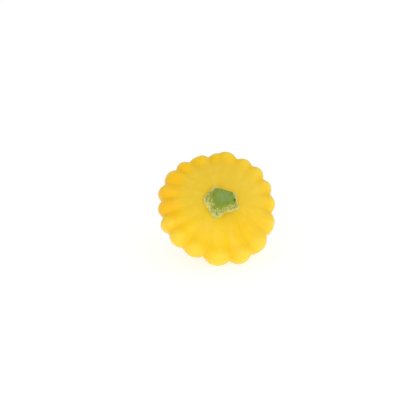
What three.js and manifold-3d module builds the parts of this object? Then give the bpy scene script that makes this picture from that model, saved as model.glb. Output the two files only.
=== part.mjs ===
// A young yellow pattypan squash with its cut stem. It lies tipped over, the way such a fruit comes to rest: on
// the flank of its deep lower side, with two lobes of the scalloped rim touching the surface in front.
// All sizes are in millimetres. Fruit and stem are shaped upright about +Z, stem end up, and then laid down.
// Places round the axis are degrees, clockwise from the lying fruit's uppermost side, seen from the stem end.

import * as THREE from "three";
import { mergeVertices } from "three/addons/utils/BufferGeometryUtils.js";
import Module from "manifold-3d";

const wasm = await Module();
wasm.setup();

const { degToRad, euclideanModulo, lerp } = THREE.MathUtils;

// Driving dimensions

const RIM_RADIUS = 32.5; // the axis to a middling lobe's crest
const AXIS_ELEVATION = 39.5; // degrees between the lying fruit's axis and the surface
const PRESSED_DEPTH = 0.5; // how deep the skin is pressed flat where the fruit lies
const COLUMNS = 144; // meridians of the fruit's mesh
const RINGS = 31; // rings of the fruit's mesh, from the stem's socket to the blossom scar

// Half outline of the fruit through the lobes' crests, as radius and height: seat of the stem, dome with its
// shallow ring hollow inside the lobes, rim, conical lower side and blossom end
const OUTLINE = [
  [6.4, 7.8],
  [12.6, 8.6],
  [19.6, 7.3],
  [25.4, 5.3],
  [30.2, 3.9],
  [32.5, -0.6],
  [31.4, -6.2],
  [26.2, -13.7],
  [19.6, -22.2],
  [12, -29.8],
  [4.4, -34.7],
];
const SEAT_REACH = 16; // inside this radius the rings take the shape of the stem's foot
// Sunken corky disc where the flower sat
const SCAR = [
  [3.6, -34.9],
  [3.1, -34.5],
  [1.4, -34.6],
];
const SCAR_MIDDLE = -34.8;

// Each lobe of the rim in turn from the uppermost place: how many columns wide it is, how far its crest reaches
// beyond RIM_RADIUS, and how deep the groove before it is, as a share of the usual depth
const LOBES = [
  { columns: 5, reach: -2.2, groove: 1.1 },
  { columns: 8, reach: -0.5, groove: 0.45 },
  { columns: 7, reach: 0.0, groove: 1.0 },
  { columns: 7, reach: 0.9, groove: 0.75 },
  { columns: 7, reach: 0.6, groove: 1.0 },
  { columns: 8, reach: 0.0, groove: 0.85 },
  { columns: 10, reach: 0.3, groove: 1.1 },
  { columns: 10, reach: 1.2, groove: 0.9 },
  { columns: 9, reach: 1.5, groove: 0.85 },
  { columns: 11, reach: 0.5, groove: 1.0 },
  { columns: 9, reach: -0.6, groove: 1.25 },
  { columns: 8, reach: 0.2, groove: 0.8 },
  { columns: 7, reach: 0.8, groove: 0.9 },
  { columns: 7, reach: -0.2, groove: 1.1 },
  { columns: 7, reach: 0.0, groove: 1.15 },
  { columns: 8, reach: -0.9, groove: 1.0 },
  { columns: 7, reach: -1.4, groove: 1.1 },
  { columns: 9, reach: -3.1, groove: 1.05 },
];

// The groove between two lobes: drawn in at the rim, sunk on the dome's edge, and run out down the flank
const RIM_GROOVE = { depth: 2.5, outside: 27.5, above: -7.5 };
const EDGE_GROOVE = { depth: 1.3, inside: 23.5, outside: 30.5 };
const FLANK_GROOVE = { depth: 1.0, below: -5, above: -15.5 };
const FAINT_GROOVE = { depth: 0.3, below: -15, above: -31, width: 3.6 };
const DOME_GROOVE = { depth: 0.25, inside: 16, outside: 23.5, width: 3.4 };
// The knuckle on each lobe's crest, just inside the rim
const KNUCKLE = { rise: 0.7, inside: 27, outside: 30.5, width: 4.2 };
const CREST_SPREAD = 2; // a lobe's reach tapers off over this many half widths, to its neighbours' crests

// The stem: five ridges, each with its place and its reach from the stem's middle, at the cut and at the foot.
// The hollow is how far the stem reaches midway to the next ridge, as a share of the two ridges' reach.
const RIDGES = [
  { cut: { place: 71, reach: 5.4, hollow: 0.87 }, foot: { place: 67, reach: 10.1, hollow: 0.88 } },
  { cut: { place: 120, reach: 7.0, hollow: 0.7 }, foot: { place: 120, reach: 11.0, hollow: 0.66 } },
  { cut: { place: 208, reach: 6.9, hollow: 0.8 }, foot: { place: 208, reach: 11.0, hollow: 0.79 } },
  { cut: { place: 285, reach: 6.2, hollow: 0.85 }, foot: { place: 285, reach: 9.7, hollow: 0.82 } },
  { cut: { place: 338, reach: 5.6, hollow: 0.71 }, foot: { place: 350, reach: 9.0, hollow: 0.74 } },
];
const STEM_COLUMNS = 72;
const STEM_OFFSET = { place: 220, by: 1.3 }; // the stem stands a little off the fruit's axis
const SHOULDER = 8.6; // height of the stem's foot
const STEM_HEIGHT = 7.9; // the foot to the cut
const ROOT = { depth: 2, flare: 0.8 }; // what of the stem sits in the fruit
const STEM_GAP = 0.3; // between the root and its socket
const CUT_RISE = { x: 0.05, y: -0.14 }; // the knife's slant across the stem's top, as rise by distance
const CUT_BEVEL = { drop: 0.35, inset: 0.4 };
const CUT_DISH = 0.25;
// How the stem narrows upwards: share of its height, and how much of the foot's flare is left there
const NARROWING = [
  { height: 0, flare: 1 },
  { height: 0.07, flare: 0.93 },
  { height: 0.17, flare: 0.7 },
  { height: 0.31, flare: 0.44 },
  { height: 0.48, flare: 0.23 },
  { height: 0.66, flare: 0.09 },
  { height: 0.84, flare: 0.02 },
];

// Points and rings

/** Point at a place in degrees. */
function around(place, radius, height) {
  const angle = degToRad(place);
  return new THREE.Vector3(radius * Math.sin(angle), radius * Math.cos(angle), height);
}

/** One ring of evenly spaced points, its radius a function of the place. */
function ringOf(columns, radiusAt, height) {
  return Array.from({ length: columns }, (_, column) => {
    const place = (column * 360) / columns;
    return around(place, radiusAt(place), height);
  });
}

/** Closed geometry over a stack of rings; a ring may have a whole fraction of its neighbour's columns. */
function skinOver(rings, topCentre, bottomCentre) {
  const vertices = [...rings.flat(), topCentre, bottomCentre];
  const indices = [];
  const firstOf = (ring) => rings.slice(0, ring).reduce((sum, above) => sum + above.length, 0);
  const starts = rings.map((_, ring) => firstOf(ring));
  const number = (ring, column) => starts[ring] + (column % rings[ring].length);

  const closeOver = (ring, centre) => {
    for (let column = 0; column < rings[ring].length; column++) {
      const edge = [number(ring, column), number(ring, column + 1)];
      if (ring > 0) edge.reverse();
      indices.push(edge[0], centre, edge[1]);
    }
  };
  const joinToNext = (upper) => {
    const lower = upper + 1;
    const narrowing = rings[upper].length >= rings[lower].length;
    const [fine, coarse] = narrowing ? [upper, lower] : [lower, upper];
    const ratio = rings[fine].length / rings[coarse].length;
    const half = Math.ceil(ratio / 2);
    for (let column = 0; column < rings[coarse].length; column++) {
      const here = number(coarse, column);
      const next = number(coarse, column + 1);
      const along = Array.from({ length: ratio + 1 }, (_, step) => number(fine, column * ratio + step));
      const faces = [[along[half], next, here]];
      for (let step = 0; step < ratio; step++) {
        faces.push([along[step], along[step + 1], step < half ? here : next]);
      }
      for (const face of faces) {
        if (!narrowing) face.reverse();
        indices.push(...face);
      }
    }
  };
  closeOver(0, vertices.length - 2);
  for (let ring = 0; ring < rings.length - 1; ring++) joinToNext(ring);
  closeOver(rings.length - 1, vertices.length - 1);

  const geometry = new THREE.BufferGeometry().setFromPoints(vertices);
  geometry.setIndex(indices);
  return geometry;
}

// Stem

const stemCentre = around(STEM_OFFSET.place, STEM_OFFSET.by, 0);

/** Radius of the star-shaped stem at a place, where a share of the foot's flare is left. */
function starRadius(place, flare) {
  const ridges = RIDGES.map(({ cut, foot }) => ({
    place: lerp(cut.place, foot.place, flare),
    reach: lerp(cut.reach, foot.reach, flare),
    hollow: lerp(cut.hollow, foot.hollow, flare),
  }));
  const after = ridges.findIndex((ridge) => ridge.place > place);
  const next = ridges[Math.max(after, 0)];
  const last = ridges.at(ridges.indexOf(next) - 1);
  const span = euclideanModulo(next.place - last.place, 360);
  const share = euclideanModulo(place - last.place, 360) / span;
  return lerp(last.reach, next.reach, share) * (1 - (1 - last.hollow) * Math.sin(Math.PI * share));
}

/** One section of the stem, widened all round by a gap. */
function stemRing(columns, height, flare, gap = 0) {
  return ringOf(columns, (place) => starRadius(place, flare) + gap, height).map((v) => v.add(stemCentre));
}

function stemGeometry() {
  const section = (height, flare, gap) => stemRing(STEM_COLUMNS, height, flare, gap);
  const cutHeight = SHOULDER + STEM_HEIGHT;
  const cutEdge = section(cutHeight - CUT_BEVEL.drop, 0);
  const cutFace = section(cutHeight, 0, -CUT_BEVEL.inset);
  for (const v of [...cutEdge, ...cutFace]) v.z += v.x * CUT_RISE.x + v.y * CUT_RISE.y;
  const wall = NARROWING.map(({ height, flare }) => section(SHOULDER + STEM_HEIGHT * height, flare));
  return skinOver(
    [cutFace, cutEdge, ...wall.reverse(), section(SHOULDER - ROOT.depth, ROOT.flare)],
    stemCentre.clone().setZ(cutHeight - CUT_DISH),
    stemCentre.clone().setZ(SHOULDER - ROOT.depth),
  );
}

// Fruit

const outlineCurve = new THREE.SplineCurve(OUTLINE.map(([radius, height]) => new THREE.Vector2(radius, height)));
const outline = outlineCurve.getSpacedPoints(RINGS - 1);
const finelyDrawn = outlineCurve.getPoints(400);
const rimRing = outline.reduce((best, point, ring) => (point.x > outline[best].x ? ring : best), 0);

/** Height of the dome's skin at a radius. */
function domeHeight(radius) {
  const beyond = Math.max(finelyDrawn.findIndex((point) => point.x >= radius), 1);
  const [a, b] = [finelyDrawn[beyond - 1], finelyDrawn[beyond]];
  return lerp(a.y, b.y, (radius - a.x) / (b.x - a.x));
}

/** The fruit's rings before any groove; towards the stem the circles turn into the star of its foot. */
function plainRings() {
  const mouth = stemRing(COLUMNS, 0, 1, STEM_GAP);
  const seatEdge = ringOf(COLUMNS, () => SEAT_REACH, 0);
  return outline.map(({ x: radius, y: height }, ring) => {
    if (ring > rimRing || radius >= SEAT_REACH) return ringOf(COLUMNS, () => radius, height);
    const share = (radius - outline[0].x) / (SEAT_REACH - outline[0].x);
    return mouth.map((v, column) => {
      const point = v.clone().lerp(seatEdge[column], share);
      return point.setZ(domeHeight(Math.hypot(point.x, point.y)));
    });
  });
}

const sharp = (share) => share * share;
const smooth = (share) => share * share * (3 - 2 * share);
const inwards = (depth) => (v) => new THREE.Vector3(1 - depth / RIM_RADIUS, 1 - depth / RIM_RADIUS, 1).multiply(v);
const upwards = (rise) => (v) => new THREE.Vector3(0, 0, rise).add(v);

/** Moves a line of picked vertices fully, and what lies within the width less with its distance from them. */
function softPull(vertices, picked, width, falloff, moved) {
  const line = picked.map((v) => v.clone());
  for (const v of vertices) {
    const distance = Math.min(...line.map((p) => p.distanceTo(v)));
    if (distance < width) v.lerp(moved(v), falloff(1 - distance / width));
  }
}

function shapeLobes(rings) {
  const vertices = rings.flat();
  const onRim = (zone) => ({ x, y }) => x > zone.outside && y > zone.above;
  const onFlank = (zone) => ({ y }) => y < zone.below && y > zone.above;
  const onDome = (zone) => ({ x }, ring) => ring <= rimRing && x > zone.inside && x < zone.outside;
  const meridian = (column, isIn) =>
    rings.filter((_, ring) => isIn(outline[ring], ring)).map((ring) => ring[column % COLUMNS]);
  const halfWidth = (lobe) => (lobe.columns * Math.PI * RIM_RADIUS) / COLUMNS;

  let column = 0;
  LOBES.forEach((lobe, i) => {
    const width = (halfWidth(lobe) + halfWidth(LOBES.at(i - 1))) / 2;
    const groove = (isIn, reach, move) => softPull(vertices, meridian(column, isIn), reach, sharp, move);
    groove(onRim(RIM_GROOVE), width, inwards(RIM_GROOVE.depth * lobe.groove));
    groove(onDome(EDGE_GROOVE), width, upwards(-EDGE_GROOVE.depth * lobe.groove));
    groove(onFlank(FLANK_GROOVE), width, inwards(FLANK_GROOVE.depth * lobe.groove));
    groove(onFlank(FAINT_GROOVE), FAINT_GROOVE.width, inwards(FAINT_GROOVE.depth * lobe.groove));
    groove(onDome(DOME_GROOVE), DOME_GROOVE.width, upwards(-DOME_GROOVE.depth * lobe.groove));
    column += lobe.columns;
  });

  column = 0;
  for (const lobe of LOBES) {
    const crest = column + Math.floor(lobe.columns / 2);
    const reach = halfWidth(lobe) * CREST_SPREAD;
    softPull(vertices, meridian(crest, onRim(RIM_GROOVE)), reach, smooth, inwards(-lobe.reach));
    softPull(vertices, meridian(crest, onDome(KNUCKLE)), KNUCKLE.width, smooth, upwards(KNUCKLE.rise));
    column += lobe.columns;
  }
}

/** How many columns to go on by in a ring, so that the mesh stays even towards both ends. */
function columnStep(ring) {
  if (outline[ring].x > SEAT_REACH) return 1;
  if (ring < rimRing || outline[ring].x > SEAT_REACH / 2) return COLUMNS / STEM_COLUMNS;
  return 4;
}

function fruitGeometry() {
  const rings = plainRings();
  shapeLobes(rings);
  const skin = rings.map((ring, i) => ring.filter((_, column) => column % columnStep(i) === 0));
  const scar = SCAR.map(([radius, height]) => ringOf(skin.at(-1).length, () => radius, height));
  const floor = SHOULDER - ROOT.depth - STEM_GAP;
  return skinOver(
    [stemRing(STEM_COLUMNS, floor, ROOT.flare, STEM_GAP), ...skin, ...scar],
    stemCentre.clone().setZ(floor),
    new THREE.Vector3(0, 0, SCAR_MIDDLE),
  );
}

// Laying down and pressing flat

/** Turns the upright geometry so that the stem points forwards, to -Y, and up by AXIS_ELEVATION. */
function layDown(geometry) {
  return geometry.rotateX(degToRad(90 - AXIS_ELEVATION));
}

function solidOf(geometry) {
  const bare = geometry.clone();
  bare.deleteAttribute("normal");
  bare.deleteAttribute("uv");
  const merged = mergeVertices(bare, 1e-4);
  return new wasm.Manifold(
    new wasm.Mesh({
      numProp: 3,
      vertProperties: merged.attributes.position.array,
      triVerts: new Uint32Array(merged.index.array),
    }),
  );
}

/** What of the geometry is above a height, closed by a flat face there. */
function pressedFlat(geometry, height) {
  const size = 4 * RIM_RADIUS;
  const ground = new THREE.BoxGeometry(size, size, size).translate(0, 0, height - size / 2);
  const mesh = solidOf(geometry).subtract(solidOf(ground)).getMesh();
  const pressed = new THREE.BufferGeometry();
  pressed.setAttribute("position", new THREE.BufferAttribute(mesh.vertProperties, 3));
  pressed.setIndex(new THREE.BufferAttribute(mesh.triVerts, 1));
  return pressed;
}

const lyingFruit = layDown(fruitGeometry());
lyingFruit.computeBoundingBox();
const surface = lyingFruit.boundingBox.min.z + PRESSED_DEPTH;

const squash = new THREE.Group();

function addPiece(name, geometry, colour, roughness) {
  const material = new THREE.MeshStandardMaterial({ color: colour, roughness, metalness: 0 });
  const mesh = new THREE.Mesh(geometry.toNonIndexed(), material);
  mesh.name = name;
  squash.add(mesh);
}

addPiece("fruit", pressedFlat(lyingFruit, surface), 0xf6c824, 0.42);
addPiece("stem", layDown(stemGeometry()), 0x7d9a45, 0.7);

// The origin lies on the surface, under the middle of the whole
const middle = new THREE.Box3().setFromObject(squash, true).getCenter(new THREE.Vector3());
squash.position.set(-middle.x, -middle.y, -surface);

export default squash;
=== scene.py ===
"""A young yellow pattypan squash, lying tipped over on its flank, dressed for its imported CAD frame.

Fruit and stem are modelled upright about +Z, stem end up, in millimetres, and then laid down where
the frame's nodes are. Places round the axis are degrees, clockwise from the lying fruit's uppermost
side, seen from the stem end.
"""

import logging
import math
from collections.abc import Iterable, Iterator, Sequence
from contextlib import contextmanager
from dataclasses import dataclass, field
from enum import Enum
from itertools import pairwise
from typing import NamedTuple

import bmesh
import bpy
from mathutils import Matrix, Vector


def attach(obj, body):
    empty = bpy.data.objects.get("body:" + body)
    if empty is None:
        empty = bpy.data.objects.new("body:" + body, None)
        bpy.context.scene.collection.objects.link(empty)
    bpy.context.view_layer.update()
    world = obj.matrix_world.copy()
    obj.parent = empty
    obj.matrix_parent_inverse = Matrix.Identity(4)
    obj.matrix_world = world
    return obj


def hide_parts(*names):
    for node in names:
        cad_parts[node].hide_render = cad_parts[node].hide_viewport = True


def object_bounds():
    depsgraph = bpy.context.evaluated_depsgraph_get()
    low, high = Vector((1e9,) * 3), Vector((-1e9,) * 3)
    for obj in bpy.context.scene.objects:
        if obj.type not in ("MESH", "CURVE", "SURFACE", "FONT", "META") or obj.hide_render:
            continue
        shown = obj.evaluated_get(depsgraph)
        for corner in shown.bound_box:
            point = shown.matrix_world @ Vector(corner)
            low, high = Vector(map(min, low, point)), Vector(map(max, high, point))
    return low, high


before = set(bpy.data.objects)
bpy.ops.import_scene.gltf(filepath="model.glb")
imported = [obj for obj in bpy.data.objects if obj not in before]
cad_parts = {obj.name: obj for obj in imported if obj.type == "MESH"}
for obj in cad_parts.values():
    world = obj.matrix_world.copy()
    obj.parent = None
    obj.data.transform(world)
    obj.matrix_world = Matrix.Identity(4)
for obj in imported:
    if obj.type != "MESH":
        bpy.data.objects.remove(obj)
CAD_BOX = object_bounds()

LOG = logging.getLogger("pattypan")
MM = 0.001
BODY = "root"
STEPS_A_SPAN = 40
HAIR = 1e-9
MIX_SHARE, MIX_UNDER, MIX_OVER, MIX_COLOUR = 0, 6, 7, 2

Colour = tuple[float, float, float, float]
Triple = tuple[float, float, float]
Piece = bpy.types.Object
Socket = bpy.types.NodeSocket
Feed = Socket | float | Sequence[float]
Paint = Feed | str


class Falloff(Enum):
    """How a soft pull fades with distance from what is picked."""

    SHARP = "SHARP"
    SMOOTH = "SMOOTH"


class Pulled(Enum):
    """Which way a pull on the fruit's skin goes."""

    INWARDS = "towards the axis"
    DOWN = "along the axis, to the blossom end"


class Sum(Enum):
    """What a material works out from numbers."""

    ADD = "ADD"
    SUBTRACT = "SUBTRACT"
    MULTIPLY = "MULTIPLY"
    MULTIPLY_ADD = "MULTIPLY_ADD"


class Measure(Enum):
    """What a material works out from vectors, with the name of the outcome."""

    TOTAL = ("ADD", "Vector")
    DIFFERENCE = ("SUBTRACT", "Vector")
    SCALED = ("MULTIPLY", "Vector")
    DIRECTION = ("NORMALIZE", "Vector")
    LENGTH = ("LENGTH", "Value")
    DISTANCE = ("DISTANCE", "Value")
    ALONG = ("DOT_PRODUCT", "Value")


class Station(NamedTuple):
    """One ring of the fruit's outline."""

    radius: float
    height: float
    on_dome: bool


class Fade(NamedTuple):
    """Where a pattern begins and ends, and how strong it is at either."""

    start: float
    end: float
    low: float = 0.0
    high: float = 1.0


class Cloud(NamedTuple):
    """Soft noise: its blobs a millimetre, how finely they are broken up, and how roughly."""

    scale: float
    detail: float = 3.0
    rough: float = 0.5


class Patches(NamedTuple):
    """Patches that follow a noise, and how they fade in."""

    cloud: Cloud
    fade: Fade


class Edge(NamedTuple):
    """A soft, uneven edge: the noise it wanders with, how many millimetres, and its fade."""

    cloud: Cloud
    wander: float
    fade: Fade


def linear(hex_colour: str) -> Colour:
    """Turn a display colour into a linear one.

    Args:
        hex_colour: Red, green and blue as six hexadecimal digits.

    Returns:
        The same colour in linear light, opaque.
    """
    shown = [int(hex_colour[i : i + 2], 16) / 255 for i in (0, 2, 4)]
    red, green, blue = (c / 12.92 if c <= 0.04045 else ((c + 0.055) / 1.055) ** 2.4 for c in shown)
    return (red, green, blue, 1.0)


def around(place: float, radius: float, height: float = 0.0) -> Vector:
    """Point at a place in degrees round the upright axis."""
    angle = math.radians(place)
    return Vector((radius * math.sin(angle), radius * math.cos(angle), height))


def place_of(point: Vector) -> float:
    """Place in degrees, 0 to 360, of a point round the upright axis."""
    return math.degrees(math.atan2(point.x, point.y)) % 360


def smooth_line(corners: Sequence[tuple[float, float]]) -> list[tuple[float, float]]:
    """Draw a smooth line through corners.

    Args:
        corners: Points that the line runs through.

    Returns:
        Many points along the line, unevenly spaced.
    """
    drawn: list[tuple[float, float]] = []
    for i, (start, end) in enumerate(pairwise(corners)):
        before = corners[max(i - 1, 0)]
        after = corners[min(i + 2, len(corners) - 1)]
        for step in range(STEPS_A_SPAN):
            t = step / STEPS_A_SPAN
            drawn.append(
                tuple(
                    b + 0.5 * t * (c - a + t * (2 * a - 5 * b + 4 * c - d + t * (3 * (b - c) + d - a)))
                    for a, b, c, d in zip(before, start, end, after)
                )
            )
    drawn.append(corners[-1])
    return drawn


def spaced_along(corners: Sequence[tuple[float, float]], count: int) -> list[tuple[float, float]]:
    """Draw a smooth line through corners and divide it evenly.

    Args:
        corners: Points that the line runs through.
        count: How many points to return, both ends included.

    Returns:
        Points at equal distances along the line.
    """
    drawn = smooth_line(corners)
    walked = [0.0]
    for here, there in pairwise(drawn):
        walked.append(walked[-1] + math.dist(here, there))
    points = []
    for i in range(count):
        goal = walked[-1] * i / (count - 1)
        passed = next(k for k, reached in enumerate(walked) if reached >= goal - HAIR)
        after = min(max(passed, 1), len(drawn) - 1)
        share = (goal - walked[after - 1]) / (walked[after] - walked[after - 1])
        here, there = drawn[after - 1], drawn[after]
        points.append((here[0] + share * (there[0] - here[0]), here[1] + share * (there[1] - here[1])))
    return points


def hold(piece: Piece) -> None:
    """Make a piece the only one selected, and the active one."""
    bpy.ops.object.select_all(action="DESELECT")
    piece.select_set(True)
    bpy.context.view_layer.objects.active = piece


@contextmanager
def shaping(piece: Piece) -> Iterator[None]:
    """Edit mode on one piece, picking vertices, for the length of a with block.

    Args:
        piece: The piece to shape.
    """
    hold(piece)
    bpy.ops.object.mode_set(mode="EDIT")
    bpy.ops.mesh.select_mode(type="VERT")
    try:
        yield
    finally:
        bpy.ops.object.mode_set(mode="OBJECT")


def pick(piece: Piece, numbers: Iterable[int]) -> None:
    """Select only some vertices, in edit mode.

    Args:
        piece: The piece that is being shaped.
        numbers: Numbers of the vertices to select.
    """
    bpy.ops.mesh.select_all(action="DESELECT")
    cage = bmesh.from_edit_mesh(piece.data)
    cage.verts.ensure_lookup_table()
    for number in numbers:
        cage.verts[number].select_set(True)
    cage.select_flush_mode()
    bmesh.update_edit_mesh(piece.data)


def soft_resize(scale: Triple, centre: Vector, reach: float, falloff: Falloff) -> None:
    """Resize what is picked about a point, and what lies within reach less and less.

    Args:
        scale: Growth along each axis.
        centre: Point that stays where it is.
        reach: How far from what is picked the skin still follows.
        falloff: How it follows less with distance.
    """
    bpy.ops.transform.resize(
        value=scale,
        center_override=centre,
        use_proportional_edit=True,
        proportional_edit_falloff=falloff.value,
        proportional_size=reach,
    )


def soft_move(way: Triple, reach: float, falloff: Falloff) -> None:
    """Move what is picked, and what lies within reach less and less.

    Args:
        way: How far to move along each axis.
        reach: How far from what is picked the skin still follows.
        falloff: How it follows less with distance.
    """
    bpy.ops.transform.translate(
        value=way,
        use_proportional_edit=True,
        proportional_edit_falloff=falloff.value,
        proportional_size=reach,
    )


def next_ring(rise: float, growth: float, centre: Vector) -> None:
    """Extrude the picked ring along the axis and resize it.

    Args:
        rise: How far the new ring is above the last.
        growth: The new ring's width as a share of the last.
        centre: Middle of the new ring.
    """
    bpy.ops.mesh.extrude_region_move(TRANSFORM_OT_translate={"value": (0.0, 0.0, rise)})
    bpy.ops.transform.resize(value=(growth, growth, 1.0), center_override=centre)


def start_round(name: str, columns: int, radius: float) -> Piece:
    """Add the circle that a piece is grown from.

    Args:
        name: Name of the piece and of its mesh.
        columns: How many vertices go round it.
        radius: The circle's radius.

    Returns:
        The piece, still a bare circle level with the origin.
    """
    bpy.ops.object.select_all(action="DESELECT")
    bpy.ops.mesh.primitive_circle_add(vertices=columns, radius=radius, location=(0.0, 0.0, 0.0))
    piece = bpy.context.object
    piece.name = name
    piece.data.name = name
    return piece


def close_ends(piece: Piece, columns: int) -> None:
    """Close the picked last ring and the first one, each with a fan of faces to its middle.

    Args:
        piece: The piece that is being shaped.
        columns: How many vertices go round it.
    """
    bpy.ops.mesh.extrude_region_move()
    bpy.ops.mesh.merge(type="CENTER")
    pick(piece, range(columns))
    bpy.ops.mesh.extrude_region_move()
    bpy.ops.mesh.merge(type="CENTER")


def face_outwards(piece: Piece) -> None:
    """Turn all the faces of a closed piece outwards."""
    with shaping(piece):
        bpy.ops.mesh.select_all(action="SELECT")
        bpy.ops.mesh.normals_make_consistent(inside=False)


def subdivide(piece: Piece, levels: int) -> None:
    """Smooth a piece by subdivision, applied.

    Args:
        piece: The piece to smooth.
        levels: How many times each face is divided.
    """
    hold(piece)
    modifier = piece.modifiers.new("smoothing", "SUBSURF")
    modifier.levels = levels
    modifier.render_levels = levels
    bpy.ops.object.modifier_apply(modifier=modifier.name)


def mark(piece: Piece, name: str, values: Sequence[float]) -> None:
    """Keep one value a vertex with a piece's mesh, for its material to read.

    Args:
        piece: The piece to mark.
        name: Name of the mark.
        values: One value for each vertex, in the order of their numbers.
    """
    kept = piece.data.attributes.new(name, "FLOAT", "POINT")
    kept.data.foreach_set("value", values)


@dataclass(frozen=True)
class Unevenness:
    """Soft swellings and dents in a skin, drawn out along the upright axis by a stretch."""

    name: str
    spacing: float
    height: float
    depth: int = 2
    level: float = 0.5
    stretch: float = 1.0

    def press_into(self, piece: Piece, group: str = "") -> None:
        """Displace a piece's skin by this much, applied.

        Args:
            piece: The upright piece, in millimetres.
            group: Vertex group that the displacement keeps to, or none.
        """
        bpy.ops.object.select_all(action="DESELECT")
        bpy.ops.object.empty_add(location=(0.0, 0.0, 0.0))
        ruler = bpy.context.object
        ruler.scale = (1.0, 1.0, self.stretch)
        bpy.context.view_layer.update()
        hold(piece)
        texture = bpy.data.textures.new(self.name, "CLOUDS")
        texture.noise_scale = self.spacing
        texture.noise_depth = self.depth
        modifier = piece.modifiers.new(self.name, "DISPLACE")
        modifier.texture = texture
        modifier.texture_coords = "OBJECT"
        modifier.texture_coords_object = ruler
        modifier.strength = self.height
        modifier.mid_level = self.level
        modifier.vertex_group = group
        bpy.ops.object.modifier_apply(modifier=modifier.name)
        bpy.data.objects.remove(ruler)


@dataclass(frozen=True)
class LyingPose:
    """How the upright squash is tipped over and where it lies in the frame."""

    axis_elevation: float = 39.5
    seat: Triple = (0.0088, -3.9328, 28.7197)

    @property
    def tip(self) -> float:
        """Turn about +X, in radians, from upright to lying."""
        return math.radians(90 - self.axis_elevation)

    def lay_down(self, piece: Piece) -> None:
        """Take an upright piece to its place in the frame, and apply it.

        Args:
            piece: The piece, in millimetres. It is left in metres.
        """
        hold(piece)
        piece.rotation_euler = (self.tip, 0.0, 0.0)
        piece.location = Vector(self.seat) * MM
        piece.scale = (MM, MM, MM)
        bpy.ops.object.transform_apply(location=True, rotation=True, scale=True)


@dataclass(frozen=True)
class StemSeat:
    """Where the stem stands on the dome, and where the knife went through it."""

    place: float = 220.0
    offset: float = 1.3
    shoulder: float = 8.6
    cut_height: float = 7.9
    cut_rise: tuple[float, float] = (0.05, -0.14)

    @property
    def centre(self) -> Vector:
        """The stem's own axis, level with the origin."""
        return around(self.place, self.offset)


@dataclass(frozen=True)
class Gloss:
    """How a surface shines, and how many millimetres light goes into it."""

    specular: float = 0.3
    refraction: float = 1.5
    translucence: float = 0.05
    light_depth: float = 0.6
    depth_by_colour: Triple = (0.8, 1.0, 0.3)
    coat: float = 0.0
    coat_roughness: float = 0.03
    sheen: float = 0.0
    sheen_roughness: float = 0.5


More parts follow.
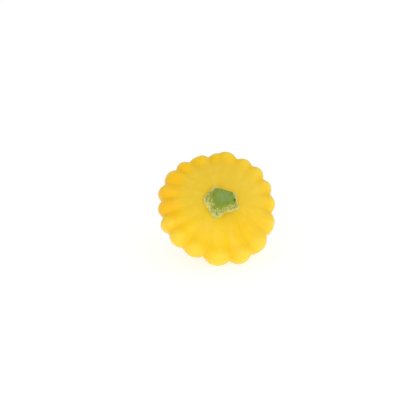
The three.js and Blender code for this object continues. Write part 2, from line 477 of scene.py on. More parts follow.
class Graph:
    """A material under construction: its nodes, and the colour that its surface has so far."""

    def __init__(self, name: str, pose: LyingPose, ground: str) -> None:
        """Start a material whose patterns read the upright squash's own millimetres.

        Args:
            name: The material's name.
            pose: How the upright squash is laid down.
            ground: The display colour that the others are laid over.
        """
        self.material = bpy.data.materials.new(name)
        self.material.use_nodes = True
        self.tree = self.material.node_tree
        self.tree.nodes.clear()
        self.shader = self._node("BsdfPrincipled", {})
        self._node("OutputMaterial", {"Surface": self.shader.outputs["BSDF"]})
        where = self._node("TexCoord", {}).outputs["Object"]
        lying = {"Location": Vector(pose.seat) * MM, "Rotation": (pose.tip, 0.0, 0.0), "Scale": (MM, MM, MM)}
        mapping = self._node("Mapping", {"Vector": where, **lying}, vector_type="TEXTURE")
        self.upright = mapping.outputs["Vector"]
        self.colour: Paint = ground

    def _node(self, kind: str, fed: dict[str | int, Paint], **settings: str) -> bpy.types.Node:
        """Add a node, set it and feed it.

        Args:
            kind: What kind of node, in Blender's words for a shader's node.
            fed: What its inputs get, by their names or numbers.
            settings: Its settings, by their names.

        Returns:
            The node.
        """
        node = self.tree.nodes.new(f"ShaderNode{kind}")
        for name, setting in settings.items():
            setattr(node, name, setting)
        for name, value in fed.items():
            self._feed(node.inputs[name], value)
        return node

    def _feed(self, socket: Socket, value: Paint) -> None:
        """Link an output to a socket, or set the socket to a plain value.

        Args:
            socket: The input to feed.
            value: Another node's output, a number, a vector or a display colour.
        """
        if isinstance(value, Socket):
            self.tree.links.new(value, socket)
        else:
            socket.default_value = linear(value) if isinstance(value, str) else value

    def _number(self, kind: Sum, *values: Feed) -> Socket:
        """Work out one number from up to three."""
        return self._node("Math", dict(enumerate(values)), operation=kind.value).outputs[0]

    def add(self, first: Feed, second: Feed) -> Socket:
        """Two numbers together."""
        return self._number(Sum.ADD, first, second)

    def subtract(self, first: Feed, second: Feed) -> Socket:
        """The first number less the second."""
        return self._number(Sum.SUBTRACT, first, second)

    def multiply(self, first: Feed, *others: Feed) -> Socket:
        """Two or more numbers, multiplied in turn.

        Args:
            first: The first number.
            others: The numbers that it is multiplied by.

        Returns:
            Their product.
        """
        product = first
        for other in others:
            product = self._number(Sum.MULTIPLY, product, other)
        return product

    def measure(self, kind: Measure, *values: Feed) -> Socket:
        """Work out a vector or a length from one or two vectors."""
        operation, outcome = kind.value
        return self._node("VectorMath", dict(enumerate(values)), operation=operation).outputs[outcome]

    def parts(self, where: Feed) -> tuple[Socket, ...]:
        """The three coordinates of a vector."""
        return tuple(self._node("SeparateXYZ", {0: where}).outputs)

    def raised(self, height: Feed) -> Socket:
        """A vector along the axis, of this height."""
        return self._node("CombineXYZ", {"Z": height}).outputs[0]

    def ramp(self, value: Feed, fade: Fade) -> Socket:
        """Let a value fade smoothly from low to high, and hold it beyond."""
        fed = dict(zip(("Value", "From Min", "From Max", "To Min", "To Max"), (value, *fade)))
        return self._node("MapRange", fed, interpolation_type="SMOOTHSTEP").outputs["Result"]

    def noise(self, where: Feed, cloud: Cloud) -> Socket:
        """Value, 0 to 1, of a soft noise at a point in millimetres."""
        fed = dict(zip(("Vector", "Scale", "Detail", "Roughness"), (where, *cloud)))
        return self._node("TexNoise", fed).outputs["Fac"]

    def patches(self, patches: Patches) -> Socket:
        """Strength of a pattern of patches, on the upright squash."""
        return self.ramp(self.noise(self.upright, patches.cloud), patches.fade)

    def edge(self, value: Feed, edge: Edge, where: Feed | None = None) -> Socket:
        """Strength at a soft, uneven edge, drawn where a value says, with its noise read at a point."""
        cloud = self.noise(self.upright if where is None else where, edge.cloud)
        return self.ramp(self._number(Sum.MULTIPLY_ADD, cloud, edge.wander, value), edge.fade)

    def cells(self, scale: float) -> Socket:
        """Distance to the nearest of scattered points, at so many points a millimetre."""
        return self._node("TexVoronoi", {"Vector": self.upright, "Scale": scale}).outputs["Distance"]

    def mark(self, name: str) -> Socket:
        """Value of a mark that the piece's own mesh carries."""
        return self._node("Attribute", {}, attribute_name=name).outputs["Fac"]

    def blend(self, share: Feed, under: Paint, over: Paint) -> Socket:
        """One colour with a share, 0 to 1, of another over it."""
        fed = {MIX_SHARE: share, MIX_UNDER: under, MIX_OVER: over}
        return self._node("Mix", fed, data_type="RGBA").outputs[MIX_COLOUR]

    def lay(self, share: Feed, over: Paint) -> None:
        """Lay a share, 0 to 1, of a colour over what the surface has so far."""
        self.colour = self.blend(share, self.colour, over)

    def shine(self, roughness: Feed, gloss: Gloss) -> None:
        """Give the surface its colour, and set how it shines and how light goes into it.

        Args:
            roughness: How rough the surface is, 0 to 1.
            gloss: The surface's gloss.
        """
        inputs = self.shader.inputs
        self._feed(inputs["Base Color"], self.colour)
        self._feed(inputs["Roughness"], roughness)
        inputs["IOR"].default_value = gloss.refraction
        inputs["Specular IOR Level"].default_value = gloss.specular
        inputs["Subsurface Weight"].default_value = gloss.translucence
        inputs["Subsurface Radius"].default_value = gloss.depth_by_colour
        inputs["Subsurface Scale"].default_value = gloss.light_depth * MM
        inputs["Coat Weight"].default_value = gloss.coat
        inputs["Coat Roughness"].default_value = gloss.coat_roughness
        inputs["Sheen Weight"].default_value = gloss.sheen
        inputs["Sheen Roughness"].default_value = gloss.sheen_roughness

    def relief(self, height: Feed, strength: float) -> None:
        """Give the surface a fine relief, of a height in millimetres."""
        bump = self._node("Bump", {"Distance": MM, "Strength": strength, "Height": height})
        self._feed(self.shader.inputs["Normal"], bump.outputs["Normal"])


class SkinPoint(NamedTuple):
    """A point of the skin on the upright fruit, in millimetres, and what is there, 0 to 1."""

    flat: Socket
    across: Socket
    upwards: Socket
    height: Socket
    radius: Socket
    gold_on_left: Socket
    streaks: Socket
    scarred: Socket


@dataclass(frozen=True)
class SkinFinish:
    """Waxy yellow skin, finely streaked; painted shade in the grooves, round the stem and on the upper dome;
    painted highlights on the lobes' crests and the right-hand side.
    """

    pose: LyingPose
    stem: StemSeat
    yellow: str = "F8CE0C"
    warm: str = "F8C804"
    golden: str = "FCB800"
    # Pale cream: the colour of the real pale patches and streaks, and also laid as painted highlight on the
    # crests and the right-hand side.
    pale: str = "FCD84C"
    # Painted shade: the darker, duller yellow laid on the middle of the dome, most on its upper half.
    dome: str = "EAC838"
    # Painted shade: the deeper yellow laid in the grooves between the lobes and in the pits inside the upper
    # right lobes.
    groove: str = "F6C506"
    # Painted shade: the deeper gold laid round the stem's foot.
    stem_foot_shade: str = "F4C01C"
    foot_green: str = "D4CC3C"
    blossom: str = "ECD850"
    speck: str = "FCE98E"
    scar: str = "C39E5E"
    dark_scar: str = "8A6636"
    halo: str = "DCD98A"
    warm_patches: Patches = Patches(Cloud(0.07, 2.0), Fade(0.35, 0.65))
    gold_on_left_edge: Edge = Edge(Cloud(0.06), 14.0, Fade(8.0, -24.0, 0.0, 0.8))
    gold_on_left_upwards: Fade = Fade(-13.0, -1.0)
    gold_on_left_radius: Fade = Fade(20.0, 29.0, 0.1, 1.0)
    dome_shade_radius: Fade = Fade(26.0, 18.0, 0.0, 0.8)
    dome_shade_upwards: Fade = Fade(-16.0, 4.0, 0.3, 1.0)
    pale_patches: Patches = Patches(Cloud(0.16, 3.0, 0.6), Fade(0.5, 0.7, 0.0, 0.35))
    # Painted light: how much pale is laid over the right-hand side.
    lit_right_side: Fade = Fade(4.0, 26.0, 0.0, 0.35)
    # Painted shade: middle of a patch of deeper yellow in the pits inside the upper right lobes.
    shade_pit: Triple = (20.8, 15.5, 4.5)
    shade_pit_edge: Edge = Edge(Cloud(0.2), 6.0, Fade(6.0, 13.0, 0.4, 0.0))
    streak_turn: Triple = (7.0, 7.0, 0.0)
    streak_run: float = 0.02
    streak_cloud: Cloud = Cloud(2.2, 4.0, 0.6)
    streak_fade: Fade = Fade(0.5, 0.75, 0.0, 0.3)
    # Painted highlight: how much pale is laid on the lobes' crests towards the rim.
    crest_highlight_radius: Fade = Fade(25.0, 31.0, 0.0, 0.65)
    groove_shade_depth: Fade = Fade(0.05, 0.55)
    groove_shade_patches: Patches = Patches(Cloud(0.4), Fade(0.3, 0.7, 0.5, 0.75))
    groove_shade_upwards: Fade = Fade(-14.0, 2.0, 0.3, 1.0)
    speck_scale: float = 0.75
    speck_size: Fade = Fade(0.0, 0.16, 0.35, 0.0)
    speck_patches: Patches = Patches(Cloud(0.2), Fade(0.4, 0.6))
    dome_height: Fade = Fade(2.0, 5.0)
    stem_foot_shade_edge: Edge = Edge(Cloud(0.35), 6.0, Fade(11.0, 14.0, 0.5, 0.0))
    green_edge: Edge = Edge(Cloud(0.35), 6.0, Fade(10.0, 12.5, 0.45, 0.0))
    blossom_edge: Edge = Edge(Cloud(0.3), 4.0, Fade(-33.0, -24.0, 0.5, 0.0))
    halo_edge: Edge = Edge(Cloud(0.55, 4.0, 0.6), 2.4, Fade(4.6, 7.2, 0.6, 0.0))
    halo_height: Fade = Fade(-33.0, -31.0, 1.0, 0.0)
    scar_edge: Edge = Edge(Cloud(0.55, 4.0, 0.6), 2.4, Fade(4.2, 5.0, 1.0, 0.0))
    scar_height: Fade = Fade(-33.6, -33.0, 1.0, 0.0)
    scar_heart: Edge = Edge(Cloud(0.55, 4.0, 0.6), 2.4, Fade(1.6, 2.4, 0.7, 0.0))
    cork_patches: Patches = Patches(Cloud(1.6, 4.0, 0.7), Fade(0.4, 0.65))
    rough_patches: Patches = Patches(Cloud(0.5), Fade(0.3, 0.7, 0.36, 0.5))
    scar_roughness: float = 0.35
    gloss: Gloss = Gloss(
        specular=0.12,
        refraction=1.45,
        translucence=0.5,
        light_depth=4.0,
        depth_by_colour=(1.0, 0.88, 0.2),
        coat=0.22,
        coat_roughness=0.2,
        sheen=0.02,
    )
    pore_cloud: Cloud = Cloud(3.0, 3.0)
    pore_height: float = 0.03
    streak_height: float = 0.12
    cork_cloud: Cloud = Cloud(2.0, 5.0, 0.7)
    cork_height: float = 0.25
    relief: float = 0.6

    def material(self) -> bpy.types.Material:
        """Build the skin's material.

        Returns:
            The material. It reads the marks "groove" and "crest" of the mesh that it is on.
        """
        g = Graph("waxy_yellow_skin", self.pose, self.yellow)
        at = self._skin_point(g)
        self._colour_ground(g, at)
        self._colour_lobes(g, at)
        self._colour_stem_end(g, at)
        self._colour_blossom_end(g, at)
        rough = g.add(g.patches(self.rough_patches), g.multiply(at.scarred, self.scar_roughness))
        g.shine(rough, self.gloss)
        pores = g.multiply(g.noise(g.upright, self.pore_cloud), self.pore_height)
        ribs = g.multiply(at.streaks, self.streak_height)
        cork = g.multiply(at.scarred, g.multiply(g.noise(g.upright, self.cork_cloud), self.cork_height))
        g.relief(g.add(g.add(pores, ribs), cork), self.relief)
        return g.material

    def _skin_point(self, g: Graph) -> SkinPoint:
        """Measure where a point of the skin is, how deep a gold it takes on the left, and how streaked and
        scarred it is.

        The streaks run from the stem end over the rim to the blossom end.

        Args:
            g: The material under construction.

        Returns:
            The point.
        """
        flat = g.measure(Measure.SCALED, g.upright, (1.0, 1.0, 0.0))
        across, upwards, height = g.parts(g.upright)
        radius = g.measure(Measure.LENGTH, flat)
        gold_on_left = g.multiply(g.edge(across, self.gold_on_left_edge), g.ramp(upwards, self.gold_on_left_upwards))
        turned = g.measure(Measure.SCALED, g.measure(Measure.DIRECTION, flat), self.streak_turn)
        along = g.raised(g.multiply(g.subtract(radius, height), self.streak_run))
        streaks = g.noise(g.measure(Measure.TOTAL, turned, along), self.streak_cloud)
        scarred = g.multiply(g.edge(radius, self.scar_edge), g.ramp(height, self.scar_height))
        return SkinPoint(flat, across, upwards, height, radius, gold_on_left, streaks, scarred)

    def _colour_ground(self, g: Graph, at: SkinPoint) -> None:
        """Lay warm and pale patches, deeper gold on the left, painted shade on the upper dome and in the pits
        inside the upper right lobes.

        Args:
            g: The material under construction.
            at: The point of the skin.
        """
        g.lay(g.patches(self.warm_patches), self.warm)
        g.lay(g.multiply(at.gold_on_left, g.ramp(at.radius, self.gold_on_left_radius)), self.golden)
        # Painted shade: the middle of the dome is laid darker and duller, most on its upper half.
        dome_shade = g.multiply(g.ramp(at.radius, self.dome_shade_radius), g.ramp(at.upwards, self.dome_shade_upwards))
        g.lay(dome_shade, self.dome)
        g.lay(g.patches(self.pale_patches), self.pale)
        # Painted shade: a patch of deeper yellow in the pits between the dome and the upper right lobes.
        from_shade_pit = g.measure(Measure.DISTANCE, g.upright, self.shade_pit)
        g.lay(g.edge(from_shade_pit, self.shade_pit_edge), self.groove)

    def _colour_lobes(self, g: Graph, at: SkinPoint) -> None:
        """Lay the streaks, painted highlights on the lobes' crests and the right-hand side, painted shade in
        the grooves between the lobes, and a few specks.

        Args:
            g: The material under construction.
            at: The point of the skin.
        """
        g.lay(g.ramp(at.streaks, self.streak_fade), self.pale)
        # Painted highlight: the lobes' crests near the rim are laid pale, except on the gold left-hand side.
        crest = g.multiply(g.mark("crest"), g.ramp(at.radius, self.crest_highlight_radius), g.subtract(1.0, at.gold_on_left))
        g.lay(crest, self.pale)
        # Painted light: the right-hand side is laid paler.
        g.lay(g.ramp(at.across, self.lit_right_side), self.pale)
        # Painted shade: the grooves between the lobes are laid a deeper yellow, less so on the lower half.
        deep = g.multiply(
            g.ramp(g.mark("groove"), self.groove_shade_depth),
            g.patches(self.groove_shade_patches),
            g.ramp(at.upwards, self.groove_shade_upwards),
        )
        g.lay(deep, self.groove)
        specks = g.multiply(g.ramp(g.cells(self.speck_scale), self.speck_size), g.patches(self.speck_patches))
        g.lay(specks, self.speck)

    def _colour_stem_end(self, g: Graph, at: SkinPoint) -> None:
        """Lay painted shade in a deeper gold round the stem, and the green at its foot.

        Args:
            g: The material under construction.
            at: The point of the skin.
        """
        from_stem = g.measure(Measure.LENGTH, g.measure(Measure.DIFFERENCE, at.flat, self.stem.centre))
        on_dome = g.ramp(at.height, self.dome_height)
        # Painted shade: a ring of deeper gold round the stem, on the dome.
        g.lay(g.multiply(g.edge(from_stem, self.stem_foot_shade_edge), on_dome), self.stem_foot_shade)
        g.lay(g.multiply(g.edge(from_stem, self.green_edge), on_dome), self.foot_green)

    def _colour_blossom_end(self, g: Graph, at: SkinPoint) -> None:
        """Lay the paler blossom end and its corky scar with a pale halo.

        Args:
            g: The material under construction.
            at: The point of the skin.
        """
        g.lay(g.edge(at.height, self.blossom_edge), self.blossom)
        g.lay(g.multiply(g.edge(at.radius, self.halo_edge), g.ramp(at.height, self.halo_height)), self.halo)
        corky = g.blend(g.patches(self.cork_patches), self.scar, self.dark_scar)
        g.lay(at.scarred, g.blend(g.edge(at.radius, self.scar_heart), corky, self.dark_scar))


@dataclass(frozen=True)
class StemFinish:
    """Fleshy green stem: mottled and finely fibrous, dark green running down from the cut, cream foot."""

    pose: LyingPose
    seat: StemSeat
    side: str = "BEC25C"
    fleck: str = "82933A"
    pale: str = "D8D496"
    dark: str = "7C9828"
    foot: str = "EEDF86"
    fibre_draw: Triple = (1.0, 1.0, 0.22)
    fibre_cloud: Cloud = Cloud(1.9, 3.0, 0.6)
    pale_fade: Fade = Fade(0.5, 0.7, 0.0, 0.7)
    mottle_cloud: Cloud = Cloud(0.75, 3.0, 0.6)
    fleck_fade: Fade = Fade(0.46, 0.58)
    dark_edge: Edge = Edge(Cloud(1.1, 3.0, 0.6), 14.0, Fade(9.6, 11.0, 0.9, 0.0))
    foot_edge: Edge = Edge(Cloud(0.35), 4.0, Fade(10.6, 12.8, 0.85, 0.0))
    roughness: float = 0.62
    gloss: Gloss = Gloss(sheen=0.08)
    fibre_height: float = 0.35
    mottle_height: float = 0.2
    relief: float = 0.8

    def material(self) -> bpy.types.Material:
        """Build the sides' material.

        Returns:
            The material.
        """
        g = Graph("ribbed_green_stem", self.pose, self.side)
        height = g.parts(g.upright)[2]
        drawn_out = g.measure(Measure.SCALED, g.upright, self.fibre_draw)
        mottled = g.noise(g.upright, self.mottle_cloud)
        fibres = g.noise(drawn_out, self.fibre_cloud)
        g.lay(g.ramp(mottled, self.fleck_fade), self.fleck)
        g.lay(g.ramp(fibres, self.pale_fade), self.pale)
        down = g.measure(Measure.ALONG, g.upright, (*self.seat.cut_rise, -1.0))
        below_cut = g.add(down, self.seat.shoulder + self.seat.cut_height)
        g.lay(g.edge(below_cut, self.dark_edge, drawn_out), self.dark)
        g.lay(g.edge(height, self.foot_edge), self.foot)
        g.shine(self.roughness, self.gloss)
        ribs = g.multiply(fibres, self.fibre_height)
        g.relief(g.add(ribs, g.multiply(mottled, self.mottle_height)), self.relief)
        return g.material


class Spot(NamedTuple):
    """A withered spot on the cut: where it is from the stem's own axis, and how large."""

    place: float
    reach: float
    height: float
    size: float


@dataclass(frozen=True)
class CutFinish:
    """Fresh cut through the stem: moist flesh, a darker rind, strands cut across, withered corners."""

    pose: LyingPose
    seat: StemSeat
    flesh: str = "7E9638"
    pale_flesh: str = "8AA258"
    rind: str = "80981C"
    strand: str = "66742A"
    withered: str = "585A1C"
    flesh_patches: Patches = Patches(Cloud(1.2), Fade(0.35, 0.65))
    rind_edge: Edge = Edge(Cloud(0.9), 0.5, Fade(0.75, 1.2))
    strand_scale: float = 0.4
    strand_size: Fade = Fade(0.1, 0.28, 0.8, 0.0)
    strand_ring: Fade = Fade(0.35, 0.7)
    spots: Sequence[Spot] = (Spot(120, 6.2, 17.2, 0.9), Spot(71, 4.9, 16.9, 0.5))
    spot_cloud: Cloud = Cloud(1.3)
    spot_wander: float = 0.8
    spot_fade: float = 0.9
    spot_share: float = 0.9
    roughness: float = 0.45
    gloss: Gloss = Gloss()
    flesh_cloud: Cloud = Cloud(2.2, 4.0)
    flesh_height: float = 0.25
    strand_depth: float = 0.2
    relief: float = 0.8

    def material(self) -> bpy.types.Material:
        """Build the cut face's material.

        Returns:
            The material. It reads the mark "rind" of the mesh that it is on.
        """
        g = Graph("moist_green_cut", self.pose, self.flesh)
        outwards = g.mark("rind")
        g.lay(g.patches(self.flesh_patches), self.pale_flesh)
        g.lay(g.edge(outwards, self.rind_edge), self.rind)
        strands = g.ramp(g.cells(self.strand_scale), self.strand_size)
        strands = g.multiply(strands, g.ramp(outwards, self.strand_ring))
        g.lay(strands, self.strand)
        for spot in self.spots:
            centre = self.seat.centre + around(spot.place, spot.reach, spot.height)
            fade = Fade(spot.size, spot.size + self.spot_fade, self.spot_share, 0.0)
            away = g.measure(Measure.DISTANCE, g.upright, centre)
            g.lay(g.edge(away, Edge(self.spot_cloud, self.spot_wander, fade)), self.withered)
        g.shine(self.roughness, self.gloss)
        flesh = g.multiply(g.noise(g.upright, self.flesh_cloud), self.flesh_height)
        g.relief(g.subtract(flesh, g.multiply(strands, self.strand_depth)), self.relief)
        return g.material


class Lobe(NamedTuple):
    """One lobe: its width in columns, its reach past the rim, and how deep the groove before it is."""

    columns: int
    reach: float
    groove: float


@dataclass(frozen=True)
class Zone:
    """Part of the fruit's outline, by radius and height."""

    inside: float = 0.0
    outside: float = math.inf
    above: float = -math.inf
    below: float = math.inf
    dome_only: bool = False

    def holds(self, station: Station) -> bool:
        """Whether a station of the outline lies in this zone."""
        within = self.inside < station.radius < self.outside and self.above < station.height < self.below
        return within and (station.on_dome or not self.dome_only)


@dataclass(frozen=True)
class Groove:
    """One stretch of the groove between two lobes. A width of 0 means half the width of a lobe."""

    zone: Zone
    pulled: Pulled
    depth: float
    width: float = 0.0


@dataclass
class Fruit:
    """The scalloped fruit: dome, lobed rim, conical lower side and blossom scar, grown as one."""

    pose: LyingPose
    skin: SkinFinish
    name: str = "fruit_skin"
    node: str = "fruit"
    slot: str = "skin"
    rim_radius: float = 32.5
    columns: int = 144
    rings: int = 44
    smoothings: int = 1
    outline: Sequence[tuple[float, float]] = (
        (3.0, 7.6),
        (6.4, 7.8),
        (12.6, 8.6),
        (19.6, 7.3),
        (25.4, 5.3),
        (30.2, 3.9),
        (32.5, -0.6),
        (31.4, -6.2),
        (26.2, -13.7),
        (19.6, -22.2),
        (12.0, -29.8),
        (4.4, -34.7),
    )
    scar: Sequence[tuple[float, float]] = ((3.7, -35.0), (3.2, -34.6), (1.4, -34.7))
    lobes: Sequence[Lobe] = (
        Lobe(5, -2.2, 1.1),
        Lobe(8, -0.5, 0.45),
        Lobe(7, 0.0, 1.0),
        Lobe(7, 0.9, 0.75),
        Lobe(7, 0.6, 1.0),
        Lobe(8, 0.0, 0.85),
        Lobe(10, 0.3, 1.1),
        Lobe(10, 1.2, 0.9),
        Lobe(9, 1.5, 0.85),
        Lobe(11, 0.5, 1.0),
        Lobe(9, -0.6, 1.25),
        Lobe(8, 0.2, 0.8),
        Lobe(7, 0.8, 0.9),
        Lobe(7, -0.2, 1.1),
        Lobe(7, 0.0, 1.15),
        Lobe(8, -0.9, 1.0),
        Lobe(7, -1.4, 1.1),
        Lobe(9, -3.1, 1.05),
    )
    rim: Zone = Zone(inside=27.5, above=-7.5)
    grooves: Sequence[Groove] = (
        Groove(rim, Pulled.INWARDS, 2.6),
        Groove(Zone(inside=23.5, outside=30.5, dome_only=True), Pulled.DOWN, 0.9),
        Groove(Zone(above=-15.5, below=-9.0), Pulled.INWARDS, 1.5),
        Groove(Zone(above=-20.5, below=-16.5), Pulled.INWARDS, 0.5),
        Groove(Zone(above=-31.0, below=-15.0), Pulled.INWARDS, 0.3, 3.6),
        Groove(Zone(inside=16.0, outside=23.5, dome_only=True), Pulled.DOWN, 0.25, 3.4),
    )
    knuckle: Zone = Zone(inside=27.0, outside=30.5, dome_only=True)
    knuckle_rise: float = 0.7
    knuckle_width: float = 4.2
    crest_spread: float = 2.0
    swellings: Sequence[Unevenness] = (
        Unevenness("broad_swellings", 9.0, 0.5, level=0.25),
        Unevenness("small_dents", 2.5, 0.1),
    )
    stations: list[Station] = field(init=False, default_factory=list)
    piece: Piece = field(init=False)

    def build(self) -> Piece:
        """Model the fruit, lay it down and dress it.

        Returns:
            The finished piece.
        """
        line = spaced_along(self.outline, self.rings)
        widest = max(range(len(line)), key=lambda i: line[i][0])
        self.stations = [Station(radius, height, i <= widest) for i, (radius, height) in enumerate(line)]
        self._draw_rings()
        plain = [v.co.copy() for v in self.piece.data.vertices]
        self._press_grooves()
        self._mark_depth(plain)
        self._raise_crests()
        self._mark_crests()
        subdivide(self.piece, self.smoothings)
        for swelling in self.swellings:
            swelling.press_into(self.piece)
        self.pose.lay_down(self.piece)
        self._press_flat()
        self._dress()
        return self.piece

    def _draw_rings(self) -> None:
        """Extrude the outline's rings from a circle round the stem's seat, and close both ends."""
        first = self.stations[0]
        self.piece = start_round(self.name, self.columns, first.radius)
        line = [(station.radius, station.height) for station in self.stations] + list(self.scar)
        with shaping(self.piece):
            bpy.ops.mesh.select_all(action="SELECT")
            bpy.ops.transform.translate(value=(0.0, 0.0, first.height))
            for (radius, height), (next_radius, next_height) in pairwise(line):
                next_ring(next_height - height, next_radius / radius, Vector((0.0, 0.0, next_height)))
            close_ends(self.piece, self.columns)
        face_outwards(self.piece)

    def _meridian(self, column: int, zone: Zone) -> list[int]:
        """Numbers of the vertices of one column that lie in a zone."""
        first = -column % self.columns
        return [ring * self.columns + first for ring, at in enumerate(self.stations) if zone.holds(at)]

    def _half_width(self, lobe: Lobe) -> float:
        """Half the width of a lobe, along the rim."""
        return lobe.columns * math.pi * self.rim_radius / self.columns

    def _pull(self, pulled: Pulled, amount: float, reach: float, falloff: Falloff) -> None:
        """Pull what is picked one way, softly.

        Args:
            pulled: Which way.
            amount: How far, in millimetres. A negative amount pushes the other way.
            reach: How far from what is picked the skin still follows.
            falloff: How it follows less with distance.
        """
        if pulled is Pulled.INWARDS:
            scale = 1 - amount / self.rim_radius
            soft_resize((scale, scale, 1.0), Vector((0.0, 0.0, 0.0)), reach, falloff)
        else:
            soft_move((0.0, 0.0, -amount), reach, falloff)

    def _press_grooves(self) -> None:
        """Press the grooves between the lobes into the plain fruit."""
        with shaping(self.piece):
            column = 0
            for before, lobe in zip((self.lobes[-1], *self.lobes), self.lobes):
                between = (self._half_width(before) + self._half_width(lobe)) / 2
                for groove in self.grooves:
                    depth = groove.depth * lobe.groove
                    pick(self.piece, self._meridian(column, groove.zone))
                    self._pull(groove.pulled, depth, groove.width or between, Falloff.SHARP)
                column += lobe.columns

    def _raise_crests(self) -> None:
        """Let each lobe reach as far as it does, and raise the knuckle on its crest."""
        with shaping(self.piece):
            column = 0
            for lobe in self.lobes:
                crest = column + lobe.columns // 2
                spread = self._half_width(lobe) * self.crest_spread
                pick(self.piece, self._meridian(crest, self.rim))
                self._pull(Pulled.INWARDS, -lobe.reach, spread, Falloff.SMOOTH)
                pick(self.piece, self._meridian(crest, self.knuckle))
                self._pull(Pulled.DOWN, -self.knuckle_rise, self.knuckle_width, Falloff.SMOOTH)
                column += lobe.columns

    def _mark_depth(self, plain: Sequence[Vector]) -> None:
        """Mark how deep in a groove each vertex lies, 0 to 1.

        Args:
            plain: Where each vertex was before the grooves were pressed in.
        """
        deepest = max(groove.depth for groove in self.grooves)
        depths = [(v.co - was).length / deepest for v, was in zip(self.piece.data.vertices, plain)]
        mark(self.piece, "groove", [min(depth, 1.0) for depth in depths])

    def _mark_crests(self) -> None:
        """Mark how near a lobe's crest each vertex lies, 0 to 1."""
        nearness = []
        for lobe in self.lobes:
            for column in range(lobe.columns):
                aside = 2 * column / lobe.columns - 1
                nearness.append(1 - aside * aside)
        places = [place_of(v.co) for v in self.piece.data.vertices]
        columns = [round(place * self.columns / 360) % self.columns for place in places]
        mark(self.piece, "crest", [nearness[column] for column in columns])

    def _press_flat(self) -> None:
        """Press what would reach below the surface flat onto it."""
        with shaping(self.piece):
            pick(self.piece, [v.index for v in bmesh.from_edit_mesh(self.piece.data).verts if v.co.z < 0])
            bpy.ops.transform.resize(value=(1.0, 1.0, 0.0), center_override=(0.0, 0.0, 0.0))

    def _dress(self) -> None:
        """Give the fruit its skin and its place in the frame."""
        hold(self.piece)
        bpy.ops.object.shade_smooth()
        self.piece.data.materials.append(self.skin.material())
        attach(self.piece, BODY)
        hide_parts(self.node)


class Tip(NamedTuple):
    """A ridge in one section of the stem.

    The hollow is how far the stem reaches midway to the next ridge, as a share of the two ridges' reach.
    """

    place: float
    reach: float
    hollow: float

    def towards(self, other: "Tip", share: float) -> "Tip":
        """The tip a share of the way to another."""
        return Tip(*(a + share * (b - a) for a, b in zip(self, other)))


class Ridge(NamedTuple):
    """One ridge of the stem, at the cut and at the foot."""

    cut: Tip
    foot: Tip


class Section(NamedTuple):
    """One section of the stem: its height over the foot, and how much of the foot's flare is left."""

    height: float
    flare: float


class Inset(NamedTuple):
    """One ring within the cut: its height over the foot, and its width as a share of the cut's."""

    height: float
    width: float


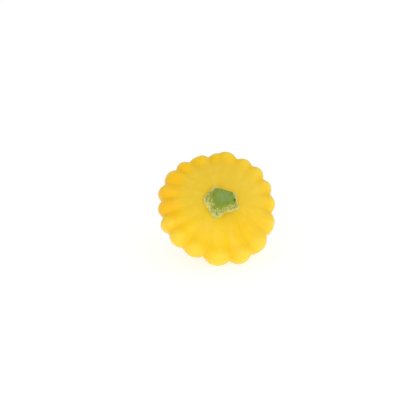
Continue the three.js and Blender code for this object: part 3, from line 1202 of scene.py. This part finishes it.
@dataclass
class Stem:
    """The cut stem: five ridges on a flared foot, and the knife's cut across its top."""

    pose: LyingPose
    seat: StemSeat
    sides: StemFinish
    cut: CutFinish
    name: str = "stem_stump"
    node: str = "stem"
    slot: str = "stem"
    ridges: Sequence[Ridge] = (
        Ridge(Tip(71, 5.4, 0.87), Tip(67, 10.1, 0.88)),
        Ridge(Tip(120, 7.0, 0.7), Tip(120, 11.0, 0.6)),
        Ridge(Tip(208, 6.9, 0.8), Tip(208, 11.0, 0.79)),
        Ridge(Tip(285, 6.2, 0.85), Tip(285, 9.7, 0.82)),
        Ridge(Tip(338, 5.6, 0.71), Tip(350, 9.0, 0.74)),
    )
    steps_between: int = 6
    sections: Sequence[Section] = (
        Section(-2.0, 0.8),
        Section(-0.7, 1.06),
        Section(0.0, 1.0),
        Section(0.55, 0.93),
        Section(1.35, 0.7),
        Section(2.45, 0.44),
        Section(3.8, 0.23),
        Section(5.2, 0.09),
        Section(6.6, 0.02),
        Section(7.5, 0.0),
    )
    insets: Sequence[Inset] = (
        Inset(7.9, 0.93),
        Inset(7.87, 0.8),
        Inset(7.72, 0.62),
        Inset(7.68, 0.4),
        Inset(7.62, 0.18),
    )
    crease: float = 0.35
    smoothings: int = 3
    crisp_angle: float = 50.0
    fibres: Sequence[Unevenness] = (
        Unevenness("stem_ribs", 0.9, 0.7, stretch=7.0),
        Unevenness("stem_bumps", 0.8, 0.25, depth=3, stretch=2.0),
    )
    fibres_on_cut: float = 0.5
    piece: Piece = field(init=False)

    @property
    def columns(self) -> int:
        """How many vertices go round the stem."""
        return len(self.ridges) * self.steps_between

    def build(self) -> Piece:
        """Model the stem, lay it down and dress it.

        Returns:
            The finished piece.
        """
        self._draw_sections()
        self._shape_sections()
        self._crease_ridges()
        self._mark_rind()
        self._sort_faces()
        subdivide(self.piece, self.smoothings)
        for fibre in self.fibres:
            fibre.press_into(self.piece, "sides")
        self.pose.lay_down(self.piece)
        self._dress()
        return self.piece

    def _outline(self, flare: float, width: float = 1.0) -> list[Vector]:
        """Draw the stem's star-shaped outline.

        Args:
            flare: Share of the foot's flare, 0 at the cut.
            width: Resizes the outline about the stem's own axis.

        Returns:
            Points round the stem's axis, level with the origin, in the order of their places.
        """
        tips = [ridge.cut.towards(ridge.foot, flare) for ridge in self.ridges]
        outline = []
        for tip, following in zip(tips, (*tips[1:], tips[0])):
            span = (following.place - tip.place) % 360
            for step in range(self.steps_between):
                share = step / self.steps_between
                sunk = 1 - (1 - tip.hollow) * math.sin(math.pi * share)
                reach = (tip.reach + share * (following.reach - tip.reach)) * sunk * width
                outline.append(self.seat.centre + around(tip.place + share * span, reach))
        return outline

    def _draw_sections(self) -> None:
        """Extrude a plain round from root to cut, and close both ends."""
        heights = [ring.height for ring in (*self.sections, *self.insets)]
        self.piece = start_round(self.name, self.columns, self.ridges[0].foot.reach)
        with shaping(self.piece):
            bpy.ops.mesh.select_all(action="SELECT")
            bpy.ops.transform.translate(value=(0.0, 0.0, self.seat.shoulder + heights[0]))
            for lower, upper in pairwise(heights):
                bpy.ops.mesh.extrude_region_move(TRANSFORM_OT_translate={"value": (0.0, 0.0, upper - lower)})
            close_ends(self.piece, self.columns)

    def _shape_sections(self) -> None:
        """Draw each section out to its star, and slant the cut."""
        outlines = [self._outline(section.flare) for section in self.sections]
        outlines += [self._outline(0.0, inset.width) for inset in self.insets]
        centre = self.seat.centre
        vertices = self.piece.data.vertices
        for ring, outline in enumerate(outlines):
            for column, point in enumerate(outline):
                vertex = vertices[ring * self.columns + (-column % self.columns)]
                vertex.co.x, vertex.co.y = point.x, point.y
        for vertex in vertices[len(outlines) * self.columns :]:
            vertex.co.x, vertex.co.y = centre.x, centre.y
        rise_across, rise_upwards = self.seat.cut_rise
        for number in self._cut_vertices():
            where = vertices[number].co
            where.z += where.x * rise_across + where.y * rise_upwards
        self.piece.data.update()
        face_outwards(self.piece)

    def _crease_ridges(self) -> None:
        """Keep the five ridges crisp when the stem is smoothed."""
        last = len(self.sections) * self.columns
        with shaping(self.piece):
            bpy.ops.mesh.select_mode(type="EDGE")
            bpy.ops.mesh.select_all(action="DESELECT")
            cage = bmesh.from_edit_mesh(self.piece.data)
            for edge in cage.edges:
                one, other = (v.index for v in edge.verts)
                runs_down = abs(one - other) == self.columns and max(one, other) < last
                if runs_down and one % self.columns % self.steps_between == 0:
                    edge.select_set(True)
            bmesh.update_edit_mesh(self.piece.data)
            bpy.ops.transform.edge_crease(value=self.crease)

    def _cut_vertices(self) -> set[int]:
        """Numbers of the vertices of the cut, its edge included."""
        edge = (len(self.sections) - 1) * self.columns
        return {v.index for v in self.piece.data.vertices if v.index >= edge and v.co.z > self.seat.shoulder}

    def _mark_rind(self) -> None:
        """Mark how near the rind each vertex lies, and which vertices are on the sides."""
        cut = self._cut_vertices()
        values = [1.0] * len(self.piece.data.vertices)
        for number in cut:
            ring = number // self.columns - len(self.sections)
            if ring >= 0:
                values[number] = self.insets[ring].width if ring < len(self.insets) else 0.0
        mark(self.piece, "rind", values)
        sides = self.piece.vertex_groups.new(name="sides")
        sides.add([v.index for v in self.piece.data.vertices if v.index not in cut], 1.0, "REPLACE")
        sides.add(sorted(cut), self.fibres_on_cut, "REPLACE")

    def _sort_faces(self) -> None:
        """Give the cut's faces the cut's material, and the rest the sides'."""
        self.piece.data.materials.append(self.sides.material())
        self.piece.data.materials.append(self.cut.material())
        cut = self._cut_vertices()
        for face in self.piece.data.polygons:
            face.material_index = int(all(number in cut for number in face.vertices))

    def _dress(self) -> None:
        """Smooth the stem but for the cut's edge, and give it its place in the frame."""
        hold(self.piece)
        bpy.ops.object.shade_smooth_by_angle(angle=math.radians(self.crisp_angle))
        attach(self.piece, BODY)
        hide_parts(self.node)


@dataclass(frozen=True)
class Studio:
    """White table and surround, soft light, and the camera."""

    azimuth: float = -17.0
    elevation: float = 19.7
    distance: float = 0.6
    lens: float = 100.0
    near_end: float = 0.01
    aside: float = 15.2
    below: float = 6.6
    pixel: float = 0.000545
    floor_size: float = 6.0
    floor_drop: float = 0.0001
    floor_grey: float = 0.35
    floor_roughness: float = 0.8
    floor_gloss: float = 0.1
    floor_glow: float = 0.73
    surround: float = 0.75
    lamp_distance: float = 0.8
    lamp_aside: float = 0.15
    lamp_size: float = 0.6
    lamp_power: float = 1.75

    def _directions(self) -> tuple[Vector, Vector, Vector]:
        """Find which way the camera looks.

        Returns:
            Directions to the camera's right, up and back, in the frame.
        """
        azimuth, elevation = math.radians(self.azimuth), math.radians(self.elevation)
        level = math.cos(elevation)
        back = Vector((math.sin(azimuth) * level, -math.cos(azimuth) * level, math.sin(elevation)))
        right = Vector((math.cos(azimuth), math.sin(azimuth), 0.0))
        return right, back.cross(right), back

    def set_camera(self) -> None:
        """Stand the camera where the photograph was taken from."""
        low, high = CAD_BOX
        right, up, back = self._directions()
        aim = (low + high) / 2 - right * self.aside * self.pixel + up * self.below * self.pixel
        bpy.ops.object.camera_add(location=aim + back * self.distance)
        camera = bpy.context.object
        camera.name = "camera"
        camera.rotation_euler = (-back).to_track_quat("-Z", "Y").to_euler()
        camera.data.lens = self.lens
        camera.data.clip_start = self.near_end
        bpy.context.scene.camera = camera

    def lay_floor(self) -> None:
        """Lay the pale floor."""
        bpy.ops.object.select_all(action="DESELECT")
        bpy.ops.mesh.primitive_plane_add(size=self.floor_size, location=(0.0, 0.0, -self.floor_drop))
        floor = bpy.context.object
        floor.name = "floor"
        material = bpy.data.materials.new("white_floor")
        material.use_nodes = True
        shader = material.node_tree.nodes["Principled BSDF"]
        shader.inputs["Base Color"].default_value = (self.floor_grey, self.floor_grey, self.floor_grey, 1.0)
        shader.inputs["Roughness"].default_value = self.floor_roughness
        shader.inputs["Specular IOR Level"].default_value = self.floor_gloss
        shader.inputs["Emission Color"].default_value = (1.0, 1.0, 1.0, 1.0)
        shader.inputs["Emission Strength"].default_value = self.floor_glow
        floor.data.materials.append(material)

    def light(self) -> None:
        """Light the scene: an even white surround and one broad soft lamp by the camera."""
        world = bpy.data.worlds.new("white_surround")
        world.use_nodes = True
        background = world.node_tree.nodes["Background"]
        background.inputs["Color"].default_value = (1.0, 1.0, 1.0, 1.0)
        background.inputs["Strength"].default_value = self.surround
        bpy.context.scene.world = world
        right, _, back = self._directions()
        spot = back * self.lamp_distance + right * self.lamp_aside
        bpy.ops.object.light_add(type="AREA", location=spot)
        lamp = bpy.context.object
        lamp.name = "broad_lamp"
        lamp.rotation_euler = (-spot).to_track_quat("-Z", "Y").to_euler()
        lamp.data.size = self.lamp_size
        lamp.data.energy = self.lamp_power

    def set_tones(self) -> None:
        """Show colours as they are, with no film look."""
        view = bpy.context.scene.view_settings
        view.view_transform = "Standard"
        view.look = "None"
        view.exposure = 0.0
        view.gamma = 1.0

    def set_up(self) -> None:
        """Set up the camera, the floor, the light and the tones."""
        self.set_camera()
        self.lay_floor()
        self.light()
        self.set_tones()


def main() -> None:
    """Set the studio up, build the squash and report each piece."""
    logging.basicConfig(level=logging.INFO, format="%(name)s: %(message)s")
    Studio().set_up()
    pose, seat = LyingPose(), StemSeat()
    fruit = Fruit(pose, SkinFinish(pose, seat))
    stem = Stem(pose, seat, StemFinish(pose, seat), CutFinish(pose, seat))
    for maker in (fruit, stem):
        piece = maker.build()
        LOG.info("%s: %d faces", piece.name, len(piece.data.polygons))


if __name__ == "__main__":
    main()
